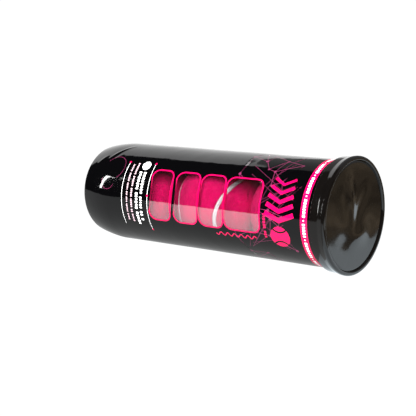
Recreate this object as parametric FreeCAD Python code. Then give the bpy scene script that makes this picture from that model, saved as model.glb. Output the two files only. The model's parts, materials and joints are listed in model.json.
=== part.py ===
"""A pressurised can of three felt-covered balls, lying on its side, in millimetres.

A blown PET tube with a domed base is closed by a seamed aluminium end with a ring-pull tear panel.
A printed shrink sleeve wraps the tube and a press-fit overcap covers the end. Three balls fill the tube.

Every piece is first modelled along +X, with the base's standing ring at x = 0, the can's axis on the
X axis and the side that faces up when the can lies down towards +Z. lay_down() then tips the can so
that it rests on its overcap's rim and on its sleeve, and puts the origin on the floor below its middle.
"""

import FreeCAD
import Part
import math
import os

from BOPTools import SplitAPI

Vector = FreeCAD.Vector

# ---- balls ----
BALL_COUNT = 3
BALL_DIAMETER = 65.5
FELT_THICKNESS = 3.2
RUBBER_WALL = 3.3
SEAM_WIDTH = 2.6
SEAM_RECESS = 0.35  # how far the seam's rubber lies below the felt's surface
SEAM_WAVE = 0.25  # share of the third harmonic in the seam's curve
SEAM_ARCS = 8  # the seam's curve is cut along in this many stretches
SEAM_STEPS = 12  # steps between the points that carry each stretch
CUT_OVERRUN = 1.0  # how far the cut runs past the felt, inwards and outwards
BALL_ROLLS = (  # the line that each ball is rolled about, and by how many degrees
    ((-0.29, -0.61, -0.74), 333.0),
    ((-0.31, 0.77, -0.55), 209.0),
    ((0.9, 1.0, 0.4), 165.0),
)

TOLERANCE = 1e-6
SMALL_TURN = 1e-5  # share of the seam's curve over which its direction is taken
FULL_CIRCLE = 360.0

# ---- clearances ----
BALL_SIDE_CLEARANCE = 3.25  # between a centred ball and the tube's inner wall
RUNNING_GAP = 0.3  # kept between separate bodies that would otherwise touch
BALL_PLAY = 4.5  # how far the row of balls can shift along the tube
PANEL_GAP = 0.1  # width of the opened score line
CAP_SNAP_GAP = 0.3  # between the overcap's snap bead and the seam
HOOK_GAP = 0.1  # between neighbouring layers of the double seam

# ---- tube ----
TUBE_WALL = 0.5
SHOULDER_LENGTH = 28.0  # from the standing ring to where the straight tube starts
SHOULDER_RADIUS = 95.0  # of the long arc that narrows the tube towards its base
HEEL_RADIUS = 4.5
STANDING_RING_WIDTH = 2.4
DOME_HEIGHT = 9.0

# ---- printed sleeve ----
SLEEVE_FILM = 0.2
SLEEVE_HEEL_ANGLE = 140.0  # where on the heel the sleeve ends, 180 being the standing ring
SLEEVE_SEAM_GAP = 2.5  # bare tube between the sleeve and the double seam

# ---- aluminium end ----
SHEET = 0.25
SEAM_HEIGHT = 3.0
SEAM_BEND = 0.5  # bend radius of the seam's crest, to the middle of its sheet
HOOK_CLEARANCE = 0.5  # between the tip of each hook and the bend it reaches for
FLANGE_ROUND = 0.4
SEALANT = 0.25
COUNTERSINK_DEPTH = 6.2  # seam top to the middle of the countersink's sheet
COUNTERSINK_WIDTH = 1.4
COUNTERSINK_FLAT = 0.2
PANEL_RISE = 1.2  # tear panel above the countersink
OPENING_CLEARANCE = 1.05  # between a ball and the opened end, in radius
PANEL_RECESS = 0.8
RECESS_EDGE = 4.0  # from the score in to the recessed centre

# ---- tab ----
TAB_THICKNESS = 1.4
TAB_LENGTH = 34.0
TAB_RING_RADIUS = 12.5
TAB_NOSE_RADIUS = 7.0
FINGER_HOLE_RADIUS = 8.6
TAB_INSET = 2.3  # from the score to the tab's nose
TAB_ROUND = 0.55
WEB_RADIUS = 4.3
WEB_THICKNESS = 0.5
WEB_GAP = 0.7
RIVET_INSET = 6.7  # from the tab's nose to the rivet
RIVET_RADIUS = 1.8
RIVET_HEAD_RADIUS = 3.0
RIVET_HEAD = 0.6
RIVET_FOOT_RADIUS = 3.5
RIVET_CLEARANCE = 0.05

# ---- overcap ----
CAP_DISC = 1.3
CAP_SKIRT = 10.4  # from the disc's top to the skirt's lip
CAP_WALL = 2.0  # from the snap bead's bore to the rim's widest point
CAP_LIP_WALL = 0.55
CAP_DRAFT = 0.15  # how much wider the skirt is below its flare than at its lip
CAP_RELIEF = 0.3  # how far the skirt's bore is relieved beside the snap bead
CAP_BEAD_WIDTH = 0.6
CAP_BEAD_RAMP = 1.0
CAP_RIM_HEIGHT = 1.2  # rim above the disc
CAP_RIM_WIDTH = 3.0
CAP_RIM_LEAN = 0.4  # how far the rim's inner flank leans outwards
CAP_RIM_CREST = 0.5
CAP_RIM_ROUND = 1.5
CAP_RIM_BAND = 1.0  # height of the rim's widest band
CAP_RIM_UNDERCUT = 1.4
CAP_FLARE = 3.6  # height of the flare between the skirt and the rim
CAP_COVE = 6.0
CAP_GROOVE_WIDTH = 0.7
CAP_GROOVE_DEPTH = 0.5
CAP_SOFT_EDGE = 0.2

# ---- levels and radii that follow from the sizes above ----
BALL_RADIUS = BALL_DIAMETER / 2
CORE_RADIUS = BALL_RADIUS - FELT_THICKNESS
BALL_PITCH = BALL_DIAMETER + RUNNING_GAP
BORE_RADIUS = BALL_RADIUS + BALL_SIDE_CLEARANCE
TUBE_RADIUS = BORE_RADIUS + TUBE_WALL
SLEEVE_RADIUS = TUBE_RADIUS + SLEEVE_FILM
BALL_DROP = BALL_SIDE_CLEARANCE - RUNNING_GAP  # balls lie on the tube's lower side

SHOULDER_CENTRE = TUBE_RADIUS - SHOULDER_RADIUS
HEEL_CENTRE = SHOULDER_CENTRE + math.sqrt(
    (SHOULDER_RADIUS - HEEL_RADIUS) ** 2 - (SHOULDER_LENGTH - HEEL_RADIUS) ** 2
)
HEEL_JOIN = math.degrees(math.atan2(HEEL_CENTRE - SHOULDER_CENTRE, HEEL_RADIUS - SHOULDER_LENGTH))
DOME_EDGE = HEEL_CENTRE - STANDING_RING_WIDTH
DOME_RADIUS = (DOME_EDGE**2 + DOME_HEIGHT**2) / (2 * DOME_HEIGHT)
DOME_CENTRE = DOME_HEIGHT - DOME_RADIUS

FIRST_BALL = DOME_CENTRE + math.sqrt(
    (DOME_RADIUS + TUBE_WALL + BALL_RADIUS + RUNNING_GAP) ** 2 - BALL_DROP**2
)
LAST_BALL = FIRST_BALL + (BALL_COUNT - 1) * BALL_PITCH
RECESS_LEVEL = LAST_BALL + BALL_RADIUS + BALL_PLAY + RUNNING_GAP + SHEET / 2
PANEL_LEVEL = RECESS_LEVEL + PANEL_RECESS
SEAM_TOP = PANEL_LEVEL - PANEL_RISE + COUNTERSINK_DEPTH
SEAM_BOTTOM = SEAM_TOP - SEAM_HEIGHT

SCORE_RADIUS = BALL_RADIUS + OPENING_CLEARANCE
CHUCK_RADIUS = BORE_RADIUS - SHEET / 2
END_HOOK_RADIUS = TUBE_RADIUS + HOOK_GAP + SHEET / 2
TUBE_HOOK_BORE = END_HOOK_RADIUS + SHEET / 2 + HOOK_GAP
TUBE_HOOK_RADIUS = TUBE_HOOK_BORE + TUBE_WALL
SEAM_WALL_RADIUS = TUBE_HOOK_RADIUS + HOOK_GAP + SHEET / 2
SEAM_RADIUS = SEAM_WALL_RADIUS + SHEET / 2
FLANGE_TOP = SEAM_TOP - SHEET - SEALANT

TAB_NOSE = -(SCORE_RADIUS - TAB_INSET)  # the tab's nose points down when the can lies on its side
TAB_UNDERSIDE = PANEL_LEVEL + SHEET / 2 + RUNNING_GAP
RIVET_PLACE = TAB_NOSE + RIVET_INSET

SNAP_RADIUS = SEAM_RADIUS + CAP_SNAP_GAP
RELIEF_RADIUS = SNAP_RADIUS + CAP_RELIEF
SKIRT_RADIUS = RELIEF_RADIUS + CAP_LIP_WALL
RIM_RADIUS = SNAP_RADIUS + CAP_WALL
DISC_UNDERSIDE = SEAM_TOP + RUNNING_GAP
DISC_TOP = DISC_UNDERSIDE + CAP_DISC
RIM_TOP = DISC_TOP + CAP_RIM_HEIGHT
LIP_LEVEL = DISC_TOP - CAP_SKIRT
RIM_WIDEST = RIM_TOP - CAP_RIM_ROUND
BAND_CORNER = (RIM_WIDEST - CAP_RIM_BAND, RIM_RADIUS, CAP_RIM_UNDERCUT)
FLARE_CORNER = (RIM_WIDEST - CAP_RIM_BAND - CAP_FLARE, SKIRT_RADIUS + CAP_DRAFT, CAP_COVE)


# ---- outlines turned about the can's axis ----
STRAIGHT_OUT = 90  # angles on an outline's circles: away from the axis, and towards the base
STRAIGHT_DOWN = 180


def at(x, r):
    """A point of an outline: x along the can's axis, r out from it."""
    return Vector(x, 0, r)


def polar(centre, radius, angle):
    """The point at that angle of a circle, measured from +X towards the outside, in degrees."""
    turn = math.radians(angle)
    return centre + Vector(radius * math.cos(turn), 0, radius * math.sin(turn))


def arc(centre, radius, start, end):
    """The edge along a circle from one angle to another."""
    points = [polar(centre, radius, a) for a in (start, (start + end) / 2, end)]
    return Part.Arc(*points).toShape()


def line(start, end):
    return Part.LineSegment(start, end).toShape()


def turned(edges):
    """The solid that a closed outline of edges makes when it is turned about the can's axis."""
    face = Part.Face(Part.Wire(edges))
    return face.revolve(Vector(0, 0, 0), Vector(1, 0, 0), FULL_CIRCLE)


def corner_arc(before, here, after, fillet):
    """Where a fillet starts, passes and ends when it rounds a corner, and its circle's centre."""
    back, on = (before - here).normalize(), (after - here).normalize()
    half = back.getAngle(on) / 2
    reach = fillet / math.tan(half)
    centre = here + (back + on).normalize() * (fillet / math.sin(half))
    middle = centre + (here - centre).normalize() * fillet
    return here + back * reach, middle, here + on * reach, centre


def rounded(corners, closed=True):
    """Edges through corners (x, r, fillet), each rounded by its fillet; an open run keeps its ends."""
    points = [at(x, r) for x, r, _ in corners]
    last = len(points) - 1
    edges, first, pen = [], None, None
    for i, here in enumerate(points):
        start = end = here
        fillet = corners[i][2] if closed or 0 < i < last else 0
        if fillet:
            start, middle, end, _ = corner_arc(points[i - 1], here, points[(i + 1) % len(points)], fillet)
        if first is None:
            first = start
        elif pen.distanceToPoint(start) > TOLERANCE:
            edges.append(line(pen, start))
        if fillet:
            edges.append(Part.Arc(start, middle, end).toShape())
        pen = end
    if closed:
        edges.append(line(pen, first))
    return edges


def sheet_outline(path, thickness):
    """Corners of a bent sheet whose middle follows path, a list of (x, r, bend radius of the middle)."""
    points = [at(x, r) for x, r, _ in path]
    sides = []
    for side in (1, -1):
        corners = []
        for i, here in enumerate(points):
            before = (here - points[i - 1]).normalize() if i else None
            after = (points[i + 1] - here).normalize() if i < len(points) - 1 else None
            first, second = before or after, after or before
            out = Vector(-first.z, 0, first.x), Vector(-second.z, 0, second.x)
            mitre = (out[0] + out[1]).normalize()
            shift = mitre * (side * thickness / 2 / mitre.dot(out[0]))
            turn = first.cross(second).y  # positive where the path turns towards -side
            bend = path[i][2]
            radius = bend + side * math.copysign(thickness / 2, turn) if bend else 0
            corners.append((here.x + shift.x, here.z + shift.z, max(radius, 0)))
        sides.append(corners)
    return sides[0] + sides[1][::-1]


# ---- tube, sleeve and seamed end ----
def tube_wall_edges(inset):
    """The base's contour from the dome's edge to the straight tube, moved inwards by inset."""
    heel, shoulder = at(HEEL_RADIUS, HEEL_CENTRE), at(SHOULDER_LENGTH, SHOULDER_CENTRE)
    edge = math.sqrt((DOME_RADIUS + inset) ** 2 - (inset - DOME_CENTRE) ** 2)
    dome_angle = math.degrees(math.atan2(edge, inset - DOME_CENTRE))
    return [
        arc(at(DOME_CENTRE, 0), DOME_RADIUS + inset, 0, dome_angle),
        line(at(inset, edge), at(inset, HEEL_CENTRE)),
        arc(heel, HEEL_RADIUS - inset, STRAIGHT_DOWN, HEEL_JOIN),
        arc(shoulder, SHOULDER_RADIUS - inset, HEEL_JOIN, STRAIGHT_OUT),
    ]


def make_can_body():
    """Blown PET tube: domed base, standing ring, long shoulder and a flange hooked into the seam."""
    hook_tip = SEAM_BOTTOM + SHEET + HOOK_CLEARANCE
    tube_and_hook = [
        (SHOULDER_LENGTH, TUBE_RADIUS, 0),
        (FLANGE_TOP - TUBE_WALL, TUBE_RADIUS, 0),
        (FLANGE_TOP - TUBE_WALL, TUBE_HOOK_BORE, 0),
        (hook_tip, TUBE_HOOK_BORE, 0),
        (hook_tip, TUBE_HOOK_RADIUS, 0),
        (FLANGE_TOP, TUBE_HOOK_RADIUS, FLANGE_ROUND),
        (FLANGE_TOP, BORE_RADIUS, FLANGE_ROUND),
        (SHOULDER_LENGTH, BORE_RADIUS, 0),
    ]
    outer, inner = tube_wall_edges(0), tube_wall_edges(TUBE_WALL)
    axis = line(at(DOME_HEIGHT + TUBE_WALL, 0), at(DOME_HEIGHT, 0))
    return turned(outer + rounded(tube_and_hook, closed=False) + inner[::-1] + [axis])


def make_shrink_sleeve():
    """Printed film shrunk over the tube, from the heel to just below the seam."""
    heel, shoulder = at(HEEL_RADIUS, HEEL_CENTRE), at(SHOULDER_LENGTH, SHOULDER_CENTRE)
    top = SEAM_BOTTOM - SLEEVE_SEAM_GAP
    straight = [
        (SHOULDER_LENGTH, SLEEVE_RADIUS, 0),
        (top, SLEEVE_RADIUS, 0),
        (top, TUBE_RADIUS, 0),
        (SHOULDER_LENGTH, TUBE_RADIUS, 0),
    ]
    outer = [
        arc(heel, HEEL_RADIUS + SLEEVE_FILM, SLEEVE_HEEL_ANGLE, HEEL_JOIN),
        arc(shoulder, SHOULDER_RADIUS + SLEEVE_FILM, HEEL_JOIN, STRAIGHT_OUT),
    ]
    inner = [
        arc(shoulder, SHOULDER_RADIUS, STRAIGHT_OUT, HEEL_JOIN),
        arc(heel, HEEL_RADIUS, HEEL_JOIN, SLEEVE_HEEL_ANGLE),
    ]
    edge = line(inner[-1].Vertexes[-1].Point, outer[0].Vertexes[0].Point)
    return turned(outer + rounded(straight, closed=False) + inner + [edge])


def make_end_ring():
    """Aluminium end that stays on the can: double seam, chuck wall, countersink and score edge."""
    bottom, top = SEAM_BOTTOM + SHEET / 2, SEAM_TOP - SHEET / 2
    countersink = SEAM_TOP - COUNTERSINK_DEPTH
    step = CHUCK_RADIUS - COUNTERSINK_WIDTH
    tight, trough = SHEET, (COUNTERSINK_WIDTH - COUNTERSINK_FLAT) / 2
    path = [
        (FLANGE_TOP - TUBE_WALL - HOOK_CLEARANCE, END_HOOK_RADIUS, 0),
        (bottom, END_HOOK_RADIUS, tight),
        (bottom, SEAM_WALL_RADIUS, tight),
        (top, SEAM_WALL_RADIUS, SEAM_BEND),
        (top, CHUCK_RADIUS, SEAM_BEND),
        (countersink, CHUCK_RADIUS, trough),
        (countersink, step, trough),
        (PANEL_LEVEL, step, tight),
        (PANEL_LEVEL, SCORE_RADIUS + PANEL_GAP, 0),
    ]
    return turned(rounded(sheet_outline(path, SHEET)))


def make_sealing_compound():
    """Ring of sealing compound squeezed between the tube's flange and the end."""
    inner, outer = BORE_RADIUS + SEAM_BEND, TUBE_HOOK_RADIUS - SEAM_BEND
    top = FLANGE_TOP + SEALANT
    return turned(rounded([(FLANGE_TOP, inner, 0), (top, inner, 0), (top, outer, 0), (FLANGE_TOP, outer, 0)]))


# ---- tear panel and tab ----
def post(radius, low, high):
    """A round post on the rivet's axis, between two levels."""
    return Part.makeCylinder(radius, high - low, Vector(low, 0, RIVET_PLACE), Vector(1, 0, 0))


def make_tear_panel():
    """Scored disc that peels out of the end, with its recessed centre and the rivet formed from it."""
    recess = SCORE_RADIUS - RECESS_EDGE
    half = SHEET / 2
    slope = 2 * PANEL_RECESS
    upper = [
        (RECESS_LEVEL + half, 0, 0),
        (RECESS_LEVEL + half, recess - slope, 2 * SHEET),
        (PANEL_LEVEL + half, recess, 2 * SHEET),
        (PANEL_LEVEL + half, SCORE_RADIUS, 0),
    ]
    lower = [(x - SHEET, r, fillet) for x, r, fillet in upper]
    disc = turned(rounded(upper + lower[::-1]))
    web_level = TAB_UNDERSIDE
    foot = Part.makeCone(
        RIVET_FOOT_RADIUS,
        RIVET_RADIUS,
        web_level - RECESS_LEVEL,
        Vector(RECESS_LEVEL, 0, RIVET_PLACE),
        Vector(1, 0, 0),
    )
    head_level = web_level + WEB_THICKNESS
    stalk = post(RIVET_RADIUS, RECESS_LEVEL, head_level)
    head = post(RIVET_HEAD_RADIUS, head_level, head_level + RIVET_HEAD)
    crown = [edge for edge in head.Edges if edge.BoundBox.XMin > head_level + RIVET_HEAD / 2]
    head = head.makeFillet(RIVET_HEAD / 2, crown)
    return disc.fuse([foot, stalk, head]).removeSplitter()


def make_tab_web():
    """The tab's riveted tongue, which stays flat on the panel while the ring lifts."""
    plate = post(WEB_RADIUS, TAB_UNDERSIDE, TAB_UNDERSIDE + WEB_THICKNESS)
    return plate.cut(post(RIVET_RADIUS + RIVET_CLEARANCE, TAB_UNDERSIDE, TAB_UNDERSIDE + WEB_THICKNESS))


def tab_disc(radius, centre):
    return Part.makeCylinder(radius, TAB_THICKNESS, Vector(TAB_UNDERSIDE, 0, centre), Vector(1, 0, 0))


def make_pull_tab():
    """Ring-pull lever: a rounded blade from nose to ring, with a finger hole and a hole for the web."""
    nose = TAB_NOSE + TAB_NOSE_RADIUS
    ring = TAB_NOSE + TAB_LENGTH - TAB_RING_RADIUS
    lean = math.asin((TAB_RING_RADIUS - TAB_NOSE_RADIUS) / (ring - nose))
    flank = [
        Vector(TAB_UNDERSIDE, side * radius * math.cos(lean), centre - radius * math.sin(lean))
        for side, radius, centre in (
            (-1, TAB_NOSE_RADIUS, nose),
            (-1, TAB_RING_RADIUS, ring),
            (1, TAB_RING_RADIUS, ring),
            (1, TAB_NOSE_RADIUS, nose),
        )
    ]
    blade = Part.Face(Part.makePolygon(flank + flank[:1])).extrude(Vector(TAB_THICKNESS, 0, 0))
    plan = blade.fuse([tab_disc(TAB_NOSE_RADIUS, nose), tab_disc(TAB_RING_RADIUS, ring)]).removeSplitter()
    plan = plan.cut([tab_disc(FINGER_HOLE_RADIUS, ring), tab_disc(WEB_RADIUS + WEB_GAP, RIVET_PLACE)])
    rims = [edge for edge in plan.Edges if edge.BoundBox.XLength < TAB_THICKNESS / 2]
    return plan.makeFillet(TAB_ROUND, rims)


# ---- overcap ----
def make_overcap():
    """Press-fit cap: grooved disc, raised rim, flared skirt and a snap bead below the seam."""
    groove_outer = RIM_RADIUS - CAP_RIM_WIDTH
    groove_inner = groove_outer - CAP_GROOVE_WIDTH
    groove_floor = DISC_TOP - CAP_GROOVE_DEPTH
    bead_top = SEAM_BOTTOM - RUNNING_GAP
    bead_bottom = bead_top - CAP_BEAD_WIDTH
    outside = [
        (DISC_UNDERSIDE, 0, 0),
        (DISC_TOP, 0, 0),
        (DISC_TOP, groove_inner, CAP_SOFT_EDGE),
        (groove_floor, groove_inner, CAP_SOFT_EDGE),
        (groove_floor, groove_outer, CAP_SOFT_EDGE),
        (RIM_TOP, groove_outer + CAP_RIM_LEAN, CAP_RIM_CREST),
        (RIM_TOP, RIM_RADIUS, CAP_RIM_ROUND),
        BAND_CORNER,
        FLARE_CORNER,
        (LIP_LEVEL, SKIRT_RADIUS, CAP_SOFT_EDGE),
    ]
    inside = [
        (LIP_LEVEL, RELIEF_RADIUS, CAP_SOFT_EDGE),
        (bead_bottom - CAP_BEAD_RAMP, RELIEF_RADIUS, CAP_SOFT_EDGE),
        (bead_bottom, SNAP_RADIUS, CAP_SOFT_EDGE),
        (bead_top, SNAP_RADIUS, CAP_SOFT_EDGE),
        (bead_top + CAP_BEAD_WIDTH, RELIEF_RADIUS, CAP_SOFT_EDGE),
        (DISC_UNDERSIDE, RELIEF_RADIUS, CAP_SOFT_EDGE),
    ]
    return turned(rounded(outside + inside))


# ---- balls ----
def seam_middle(turn):
    """Unit direction of the seam's middle, at a turn from 0 to 1 round the ball."""
    t = 2 * math.pi * turn
    near, far = 1 - SEAM_WAVE, SEAM_WAVE
    return Vector(
        near * math.cos(t) + far * math.cos(3 * t),
        near * math.sin(t) - far * math.sin(3 * t),
        2 * math.sqrt(near * far) * math.sin(2 * t),
    )


def seam_edge(turn, side):
    """Unit direction of the felt's edge on one side of the seam, and which way the seam runs there."""
    along = (seam_middle(turn + SMALL_TURN) - seam_middle(turn - SMALL_TURN)).normalize()
    across = seam_middle(turn).cross(along)
    return (seam_middle(turn) + across * (side * SEAM_WIDTH / 2 / BALL_RADIUS)).normalize(), along


def seam_cut(side):
    """Cone-like surface from inside the felt to outside it, along one side of the seam."""
    faces = []
    for stretch in range(SEAM_ARCS):
        turns = [(stretch + step / SEAM_STEPS) / SEAM_ARCS for step in range(SEAM_STEPS + 1)]
        edge = [seam_edge(turn, side) for turn in turns]
        rails = []
        for radius in (CORE_RADIUS - CUT_OVERRUN, BALL_RADIUS + CUT_OVERRUN):
            curve = Part.BSplineCurve()
            points = [direction * radius for direction, _ in edge]
            curve.interpolate(points, InitialTangent=edge[0][1], FinalTangent=edge[-1][1])
            rails.append(curve.toShape())
        faces.append(Part.makeRuledSurface(*rails))
    return Part.makeShell(faces)


def make_ball():
    """The five pieces of a ball centred on the origin: two felt panels, the seam and two core halves."""
    felt = Part.makeSphere(BALL_RADIUS).cut(Part.makeSphere(CORE_RADIUS))
    pieces = sorted(SplitAPI.slice(felt, [seam_cut(-1), seam_cut(1)], "Split").Solids, key=lambda s: s.Volume)
    seam = pieces[0].common(Part.makeSphere(BALL_RADIUS - SEAM_RECESS))
    core = Part.makeSphere(CORE_RADIUS).cut(Part.makeSphere(CORE_RADIUS - RUBBER_WALL))
    half = Part.makeBox(BALL_DIAMETER, BALL_DIAMETER, BALL_RADIUS, Vector(-BALL_RADIUS, -BALL_RADIUS, 0))
    return {
        "felt_a": pieces[1],
        "felt_b": pieces[2],
        "seam": seam,
        "core_half_a": core.common(half),
        "core_half_b": core.cut(half),
    }


def ball_centre(number):
    """Centre of a ball, number 1 lying nearest the base."""
    return Vector(FIRST_BALL + (number - 1) * BALL_PITCH, 0, -BALL_DROP)


def ball_turn(number):
    """How a ball happens to lie in the tube: each is rolled a different way."""
    line, angle = BALL_ROLLS[(number - 1) % len(BALL_ROLLS)]
    return FreeCAD.Rotation(Vector(*line), angle)


# ---- how the can lies ----
def resting_tilt():
    """Angle, in radians, between the can's axis and the floor, because the rim is wider than the tube.

    The can rests on two circles of its outline: the sleeve's shoulder and the round under the rim.
    """
    above, band, below = [at(*corner[:2]) for corner in ((RIM_WIDEST, RIM_RADIUS), BAND_CORNER, FLARE_CORNER)]
    _, _, _, rim = corner_arc(above, band, below, CAP_RIM_UNDERCUT)
    line_of_centres = rim - at(SHOULDER_LENGTH, SHOULDER_CENTRE)
    radii = CAP_RIM_UNDERCUT - (SHOULDER_RADIUS + SLEEVE_FILM)
    return math.atan2(line_of_centres.z, line_of_centres.x) + math.asin(radii / line_of_centres.Length)


def lay_down(pieces):
    """Placement that tips the can onto the floor, with the middle of its footprint at the origin."""
    tip = FreeCAD.Rotation(Vector(0, 1, 0), -math.degrees(resting_tilt()))
    tipped = Part.makeCompound([pieces[name] for name in ("overcap", "shrink_sleeve", "can_body")])
    tipped.Placement = FreeCAD.Placement(Vector(0, 0, 0), tip)
    box = tipped.optimalBoundingBox(False)
    middle = Vector((box.XMin + box.XMax) / 2, 0, box.ZMin)
    return FreeCAD.Placement(-middle, tip)


def make_pieces():
    """Every piece along the X axis, by node name."""
    pieces = {
        "can_body": make_can_body(),
        "shrink_sleeve": make_shrink_sleeve(),
        "end_ring": make_end_ring(),
        "sealing_compound": make_sealing_compound(),
        "tear_panel": make_tear_panel(),
        "tab_web": make_tab_web(),
        "pull_tab": make_pull_tab(),
        "overcap": make_overcap(),
    }
    ball = make_ball()
    for number in range(1, BALL_COUNT + 1):
        for name, shape in ball.items():
            placed = shape.copy()
            placed.Placement = FreeCAD.Placement(ball_centre(number), ball_turn(number))
            pieces[f"ball_{number}_{name}"] = placed
    return pieces


def main():
    os.makedirs("parts", exist_ok=True)
    pieces = make_pieces()
    lying = lay_down(pieces)
    for name, shape in pieces.items():
        placed = shape.copy()
        placed.Placement = lying.multiply(shape.Placement)
        if not placed.isValid() or placed.Volume <= 0:
            raise ValueError(f"{name} is not a valid solid")
        placed.exportStep(os.path.join("parts", f"{name}.step"))
    print(f"{len(pieces)} pieces, tilt {math.degrees(resting_tilt()):.3f} degrees")


if __name__ == "__main__":
    main()
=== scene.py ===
import json
import math
import random

import bmesh
import bpy
import numpy as np
from mathutils import Matrix, Vector
from mathutils.geometry import delaunay_2d_cdt


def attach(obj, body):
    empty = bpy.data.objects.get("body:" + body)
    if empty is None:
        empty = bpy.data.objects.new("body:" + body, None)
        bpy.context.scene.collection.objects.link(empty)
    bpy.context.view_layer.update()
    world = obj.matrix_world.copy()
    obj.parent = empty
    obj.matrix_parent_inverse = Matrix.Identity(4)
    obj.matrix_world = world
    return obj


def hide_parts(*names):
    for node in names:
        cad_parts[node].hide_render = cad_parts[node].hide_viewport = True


bl_info = {
    "name": "Ball can",
    "version": (1, 0, 0),
    "blender": (4, 5, 0),
    "location": "3D View > Sidebar > Ball can",
    "description": "Builds the looks of a lying can of three felt balls round its packed frame",
    "category": "Object",
}

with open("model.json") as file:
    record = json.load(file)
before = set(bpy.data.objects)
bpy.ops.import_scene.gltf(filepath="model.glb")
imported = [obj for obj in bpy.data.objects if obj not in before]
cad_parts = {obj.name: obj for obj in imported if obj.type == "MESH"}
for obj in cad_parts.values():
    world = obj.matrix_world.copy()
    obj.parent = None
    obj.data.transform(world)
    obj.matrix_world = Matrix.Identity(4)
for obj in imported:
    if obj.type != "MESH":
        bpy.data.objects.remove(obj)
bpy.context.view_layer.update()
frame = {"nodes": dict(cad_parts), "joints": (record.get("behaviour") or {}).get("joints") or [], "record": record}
RECORD = frame["record"]

# ---- the can's own frame ----
# millimetres, x along its axis from the standing ring, z up when it lies down
MM = 0.001
AXIS = Vector(frame["joints"][0]["axis"]).normalized()
UP = Vector((-AXIS.z, 0, AXIS.x))
MOUNTS = {mount["name"]: mount for mount in RECORD["mounts"]}
BARREL = Vector(MOUNTS["sleeve_barrel"]["pos_m"])
STANDING_RING = Vector(MOUNTS["standing_ring"]["pos_m"])
ORIGIN = BARREL + AXIS * AXIS.dot(STANDING_RING - BARREL)
TURNED = Matrix((AXIS, (0, 1, 0), UP)).transposed().to_4x4()
CAN = Matrix.Translation(ORIGIN) @ TURNED @ Matrix.Scale(MM, 4)


def can_points(node):
    """A CAD node's vertices in the can's own frame, in millimetres."""
    back = CAN.inverted()
    return np.array([back @ v.co for v in frame["nodes"][node].data.vertices])


def reach(node):
    """How far a CAD node runs along the axis, and its largest radius, in millimetres."""
    points = can_points(node)
    return points[:, 0].min(), points[:, 0].max(), np.hypot(points[:, 1], points[:, 2]).max()


# ---- sizes, in millimetres ----
SLEEVE_RADIUS = MOUNTS["sleeve_barrel"]["dims"]["r_mm"]
SLEEVE_END = reach("shrink_sleeve")[1]
CAP_LIP, CAP_TOP, CAP_RADIUS = reach("overcap")
_, SEAM_TOP, SEAM_RADIUS = reach("end_ring")
SLEEVE_BORE = SLEEVE_RADIUS - 0.2  # where the sleeve's profile is drawn
FILM = 0.15
TUBE_RADIUS = SLEEVE_RADIUS - 0.25  # a hair inside the sleeve, so that the two never touch
TUBE_WALL = 0.45
SHOULDER_LENGTH = 28.0  # from the standing ring to where the straight tube starts
SHOULDER_RADIUS = 95.0  # of the long arc that narrows the tube towards its base
HEEL_RADIUS = 4.5
HEEL_TOP = 28.896  # how far from the axis the heel's round is centred
SLEEVE_HEEL_ANGLE = 140.0  # where on the heel the sleeve ends, 180 being the standing ring
STANDING_RING_WIDTH = 2.4
DOME_HEIGHT = 9.0

BALL_RADIUS = 32.75
FELT_DEPTH = 2.8
SEAM_WIDTH = 2.6
SEAM_RECESS = 0.35  # how far the seam lies below the felt
SEAM_WAVE = 0.25  # share of the third harmonic in the seam's curve

TURN = 360.0
STRAIGHT_OUT = 90.0
STRAIGHT_DOWN = 180.0
SHOULDER_CENTRE = SLEEVE_BORE - SHOULDER_RADIUS
HEEL_JOIN = math.degrees(math.atan2(HEEL_TOP - SHOULDER_CENTRE, HEEL_RADIUS - SHOULDER_LENGTH))
HEEL_ROWS = 15
SHOULDER_ROWS = 33
LAP_ANGLE = 200.0  # where the sleeve's film overlaps itself, at the back and near the floor
LAP_WIDTH = 5.0
LAP_STEP = 0.12
LAP_RISE = 0.4  # over which the upper layer climbs onto the lower one
LAP_FALL = 0.2
RIPPLE = 0.035  # how far shrinking leaves the film off a true round
SLOPE_STEP = 0.02  # over which the film's slope is taken
RIPPLE_START = 8.0  # distance from the sleeve's edge over which the ripple grows


# ---- small mesh tools ----
def to_row(points):
    """Points in the can's own frame, as row-frame points in metres."""
    return np.asarray(points, float) @ np.array(CAN.to_3x3()).T + np.array(CAN.translation)


def in_scene(name, data):
    """A new object that holds a mesh, a light or a camera."""
    made = bpy.data.objects.new(name, data)
    bpy.context.scene.collection.objects.link(made)
    return made


def new_piece(name, points, faces, finishes, smooth_angle=None, finish_of_face=None):
    """A mesh object from points in the can's own frame."""
    mesh = bpy.data.meshes.new(name)
    mesh.from_pydata([tuple(p) for p in to_row(points)], [], faces)
    for finish in finishes:
        mesh.materials.append(finish)
    if finish_of_face is not None:
        mesh.polygons.foreach_set("material_index", np.asarray(finish_of_face, np.int32))
    mesh.shade_smooth()
    if smooth_angle is not None:
        mesh.set_sharp_from_angle(angle=math.radians(smooth_angle))
    mesh.update()
    return in_scene(name, mesh)


def arc_points(centre, radius, start, end, steps):
    """Points along a circle, angles in degrees from the first coordinate's way to the second's."""
    return [
        (centre[0] + radius * math.cos(math.radians(a)), centre[1] + radius * math.sin(math.radians(a)))
        for a in np.linspace(start, end, steps + 1)
    ]


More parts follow.
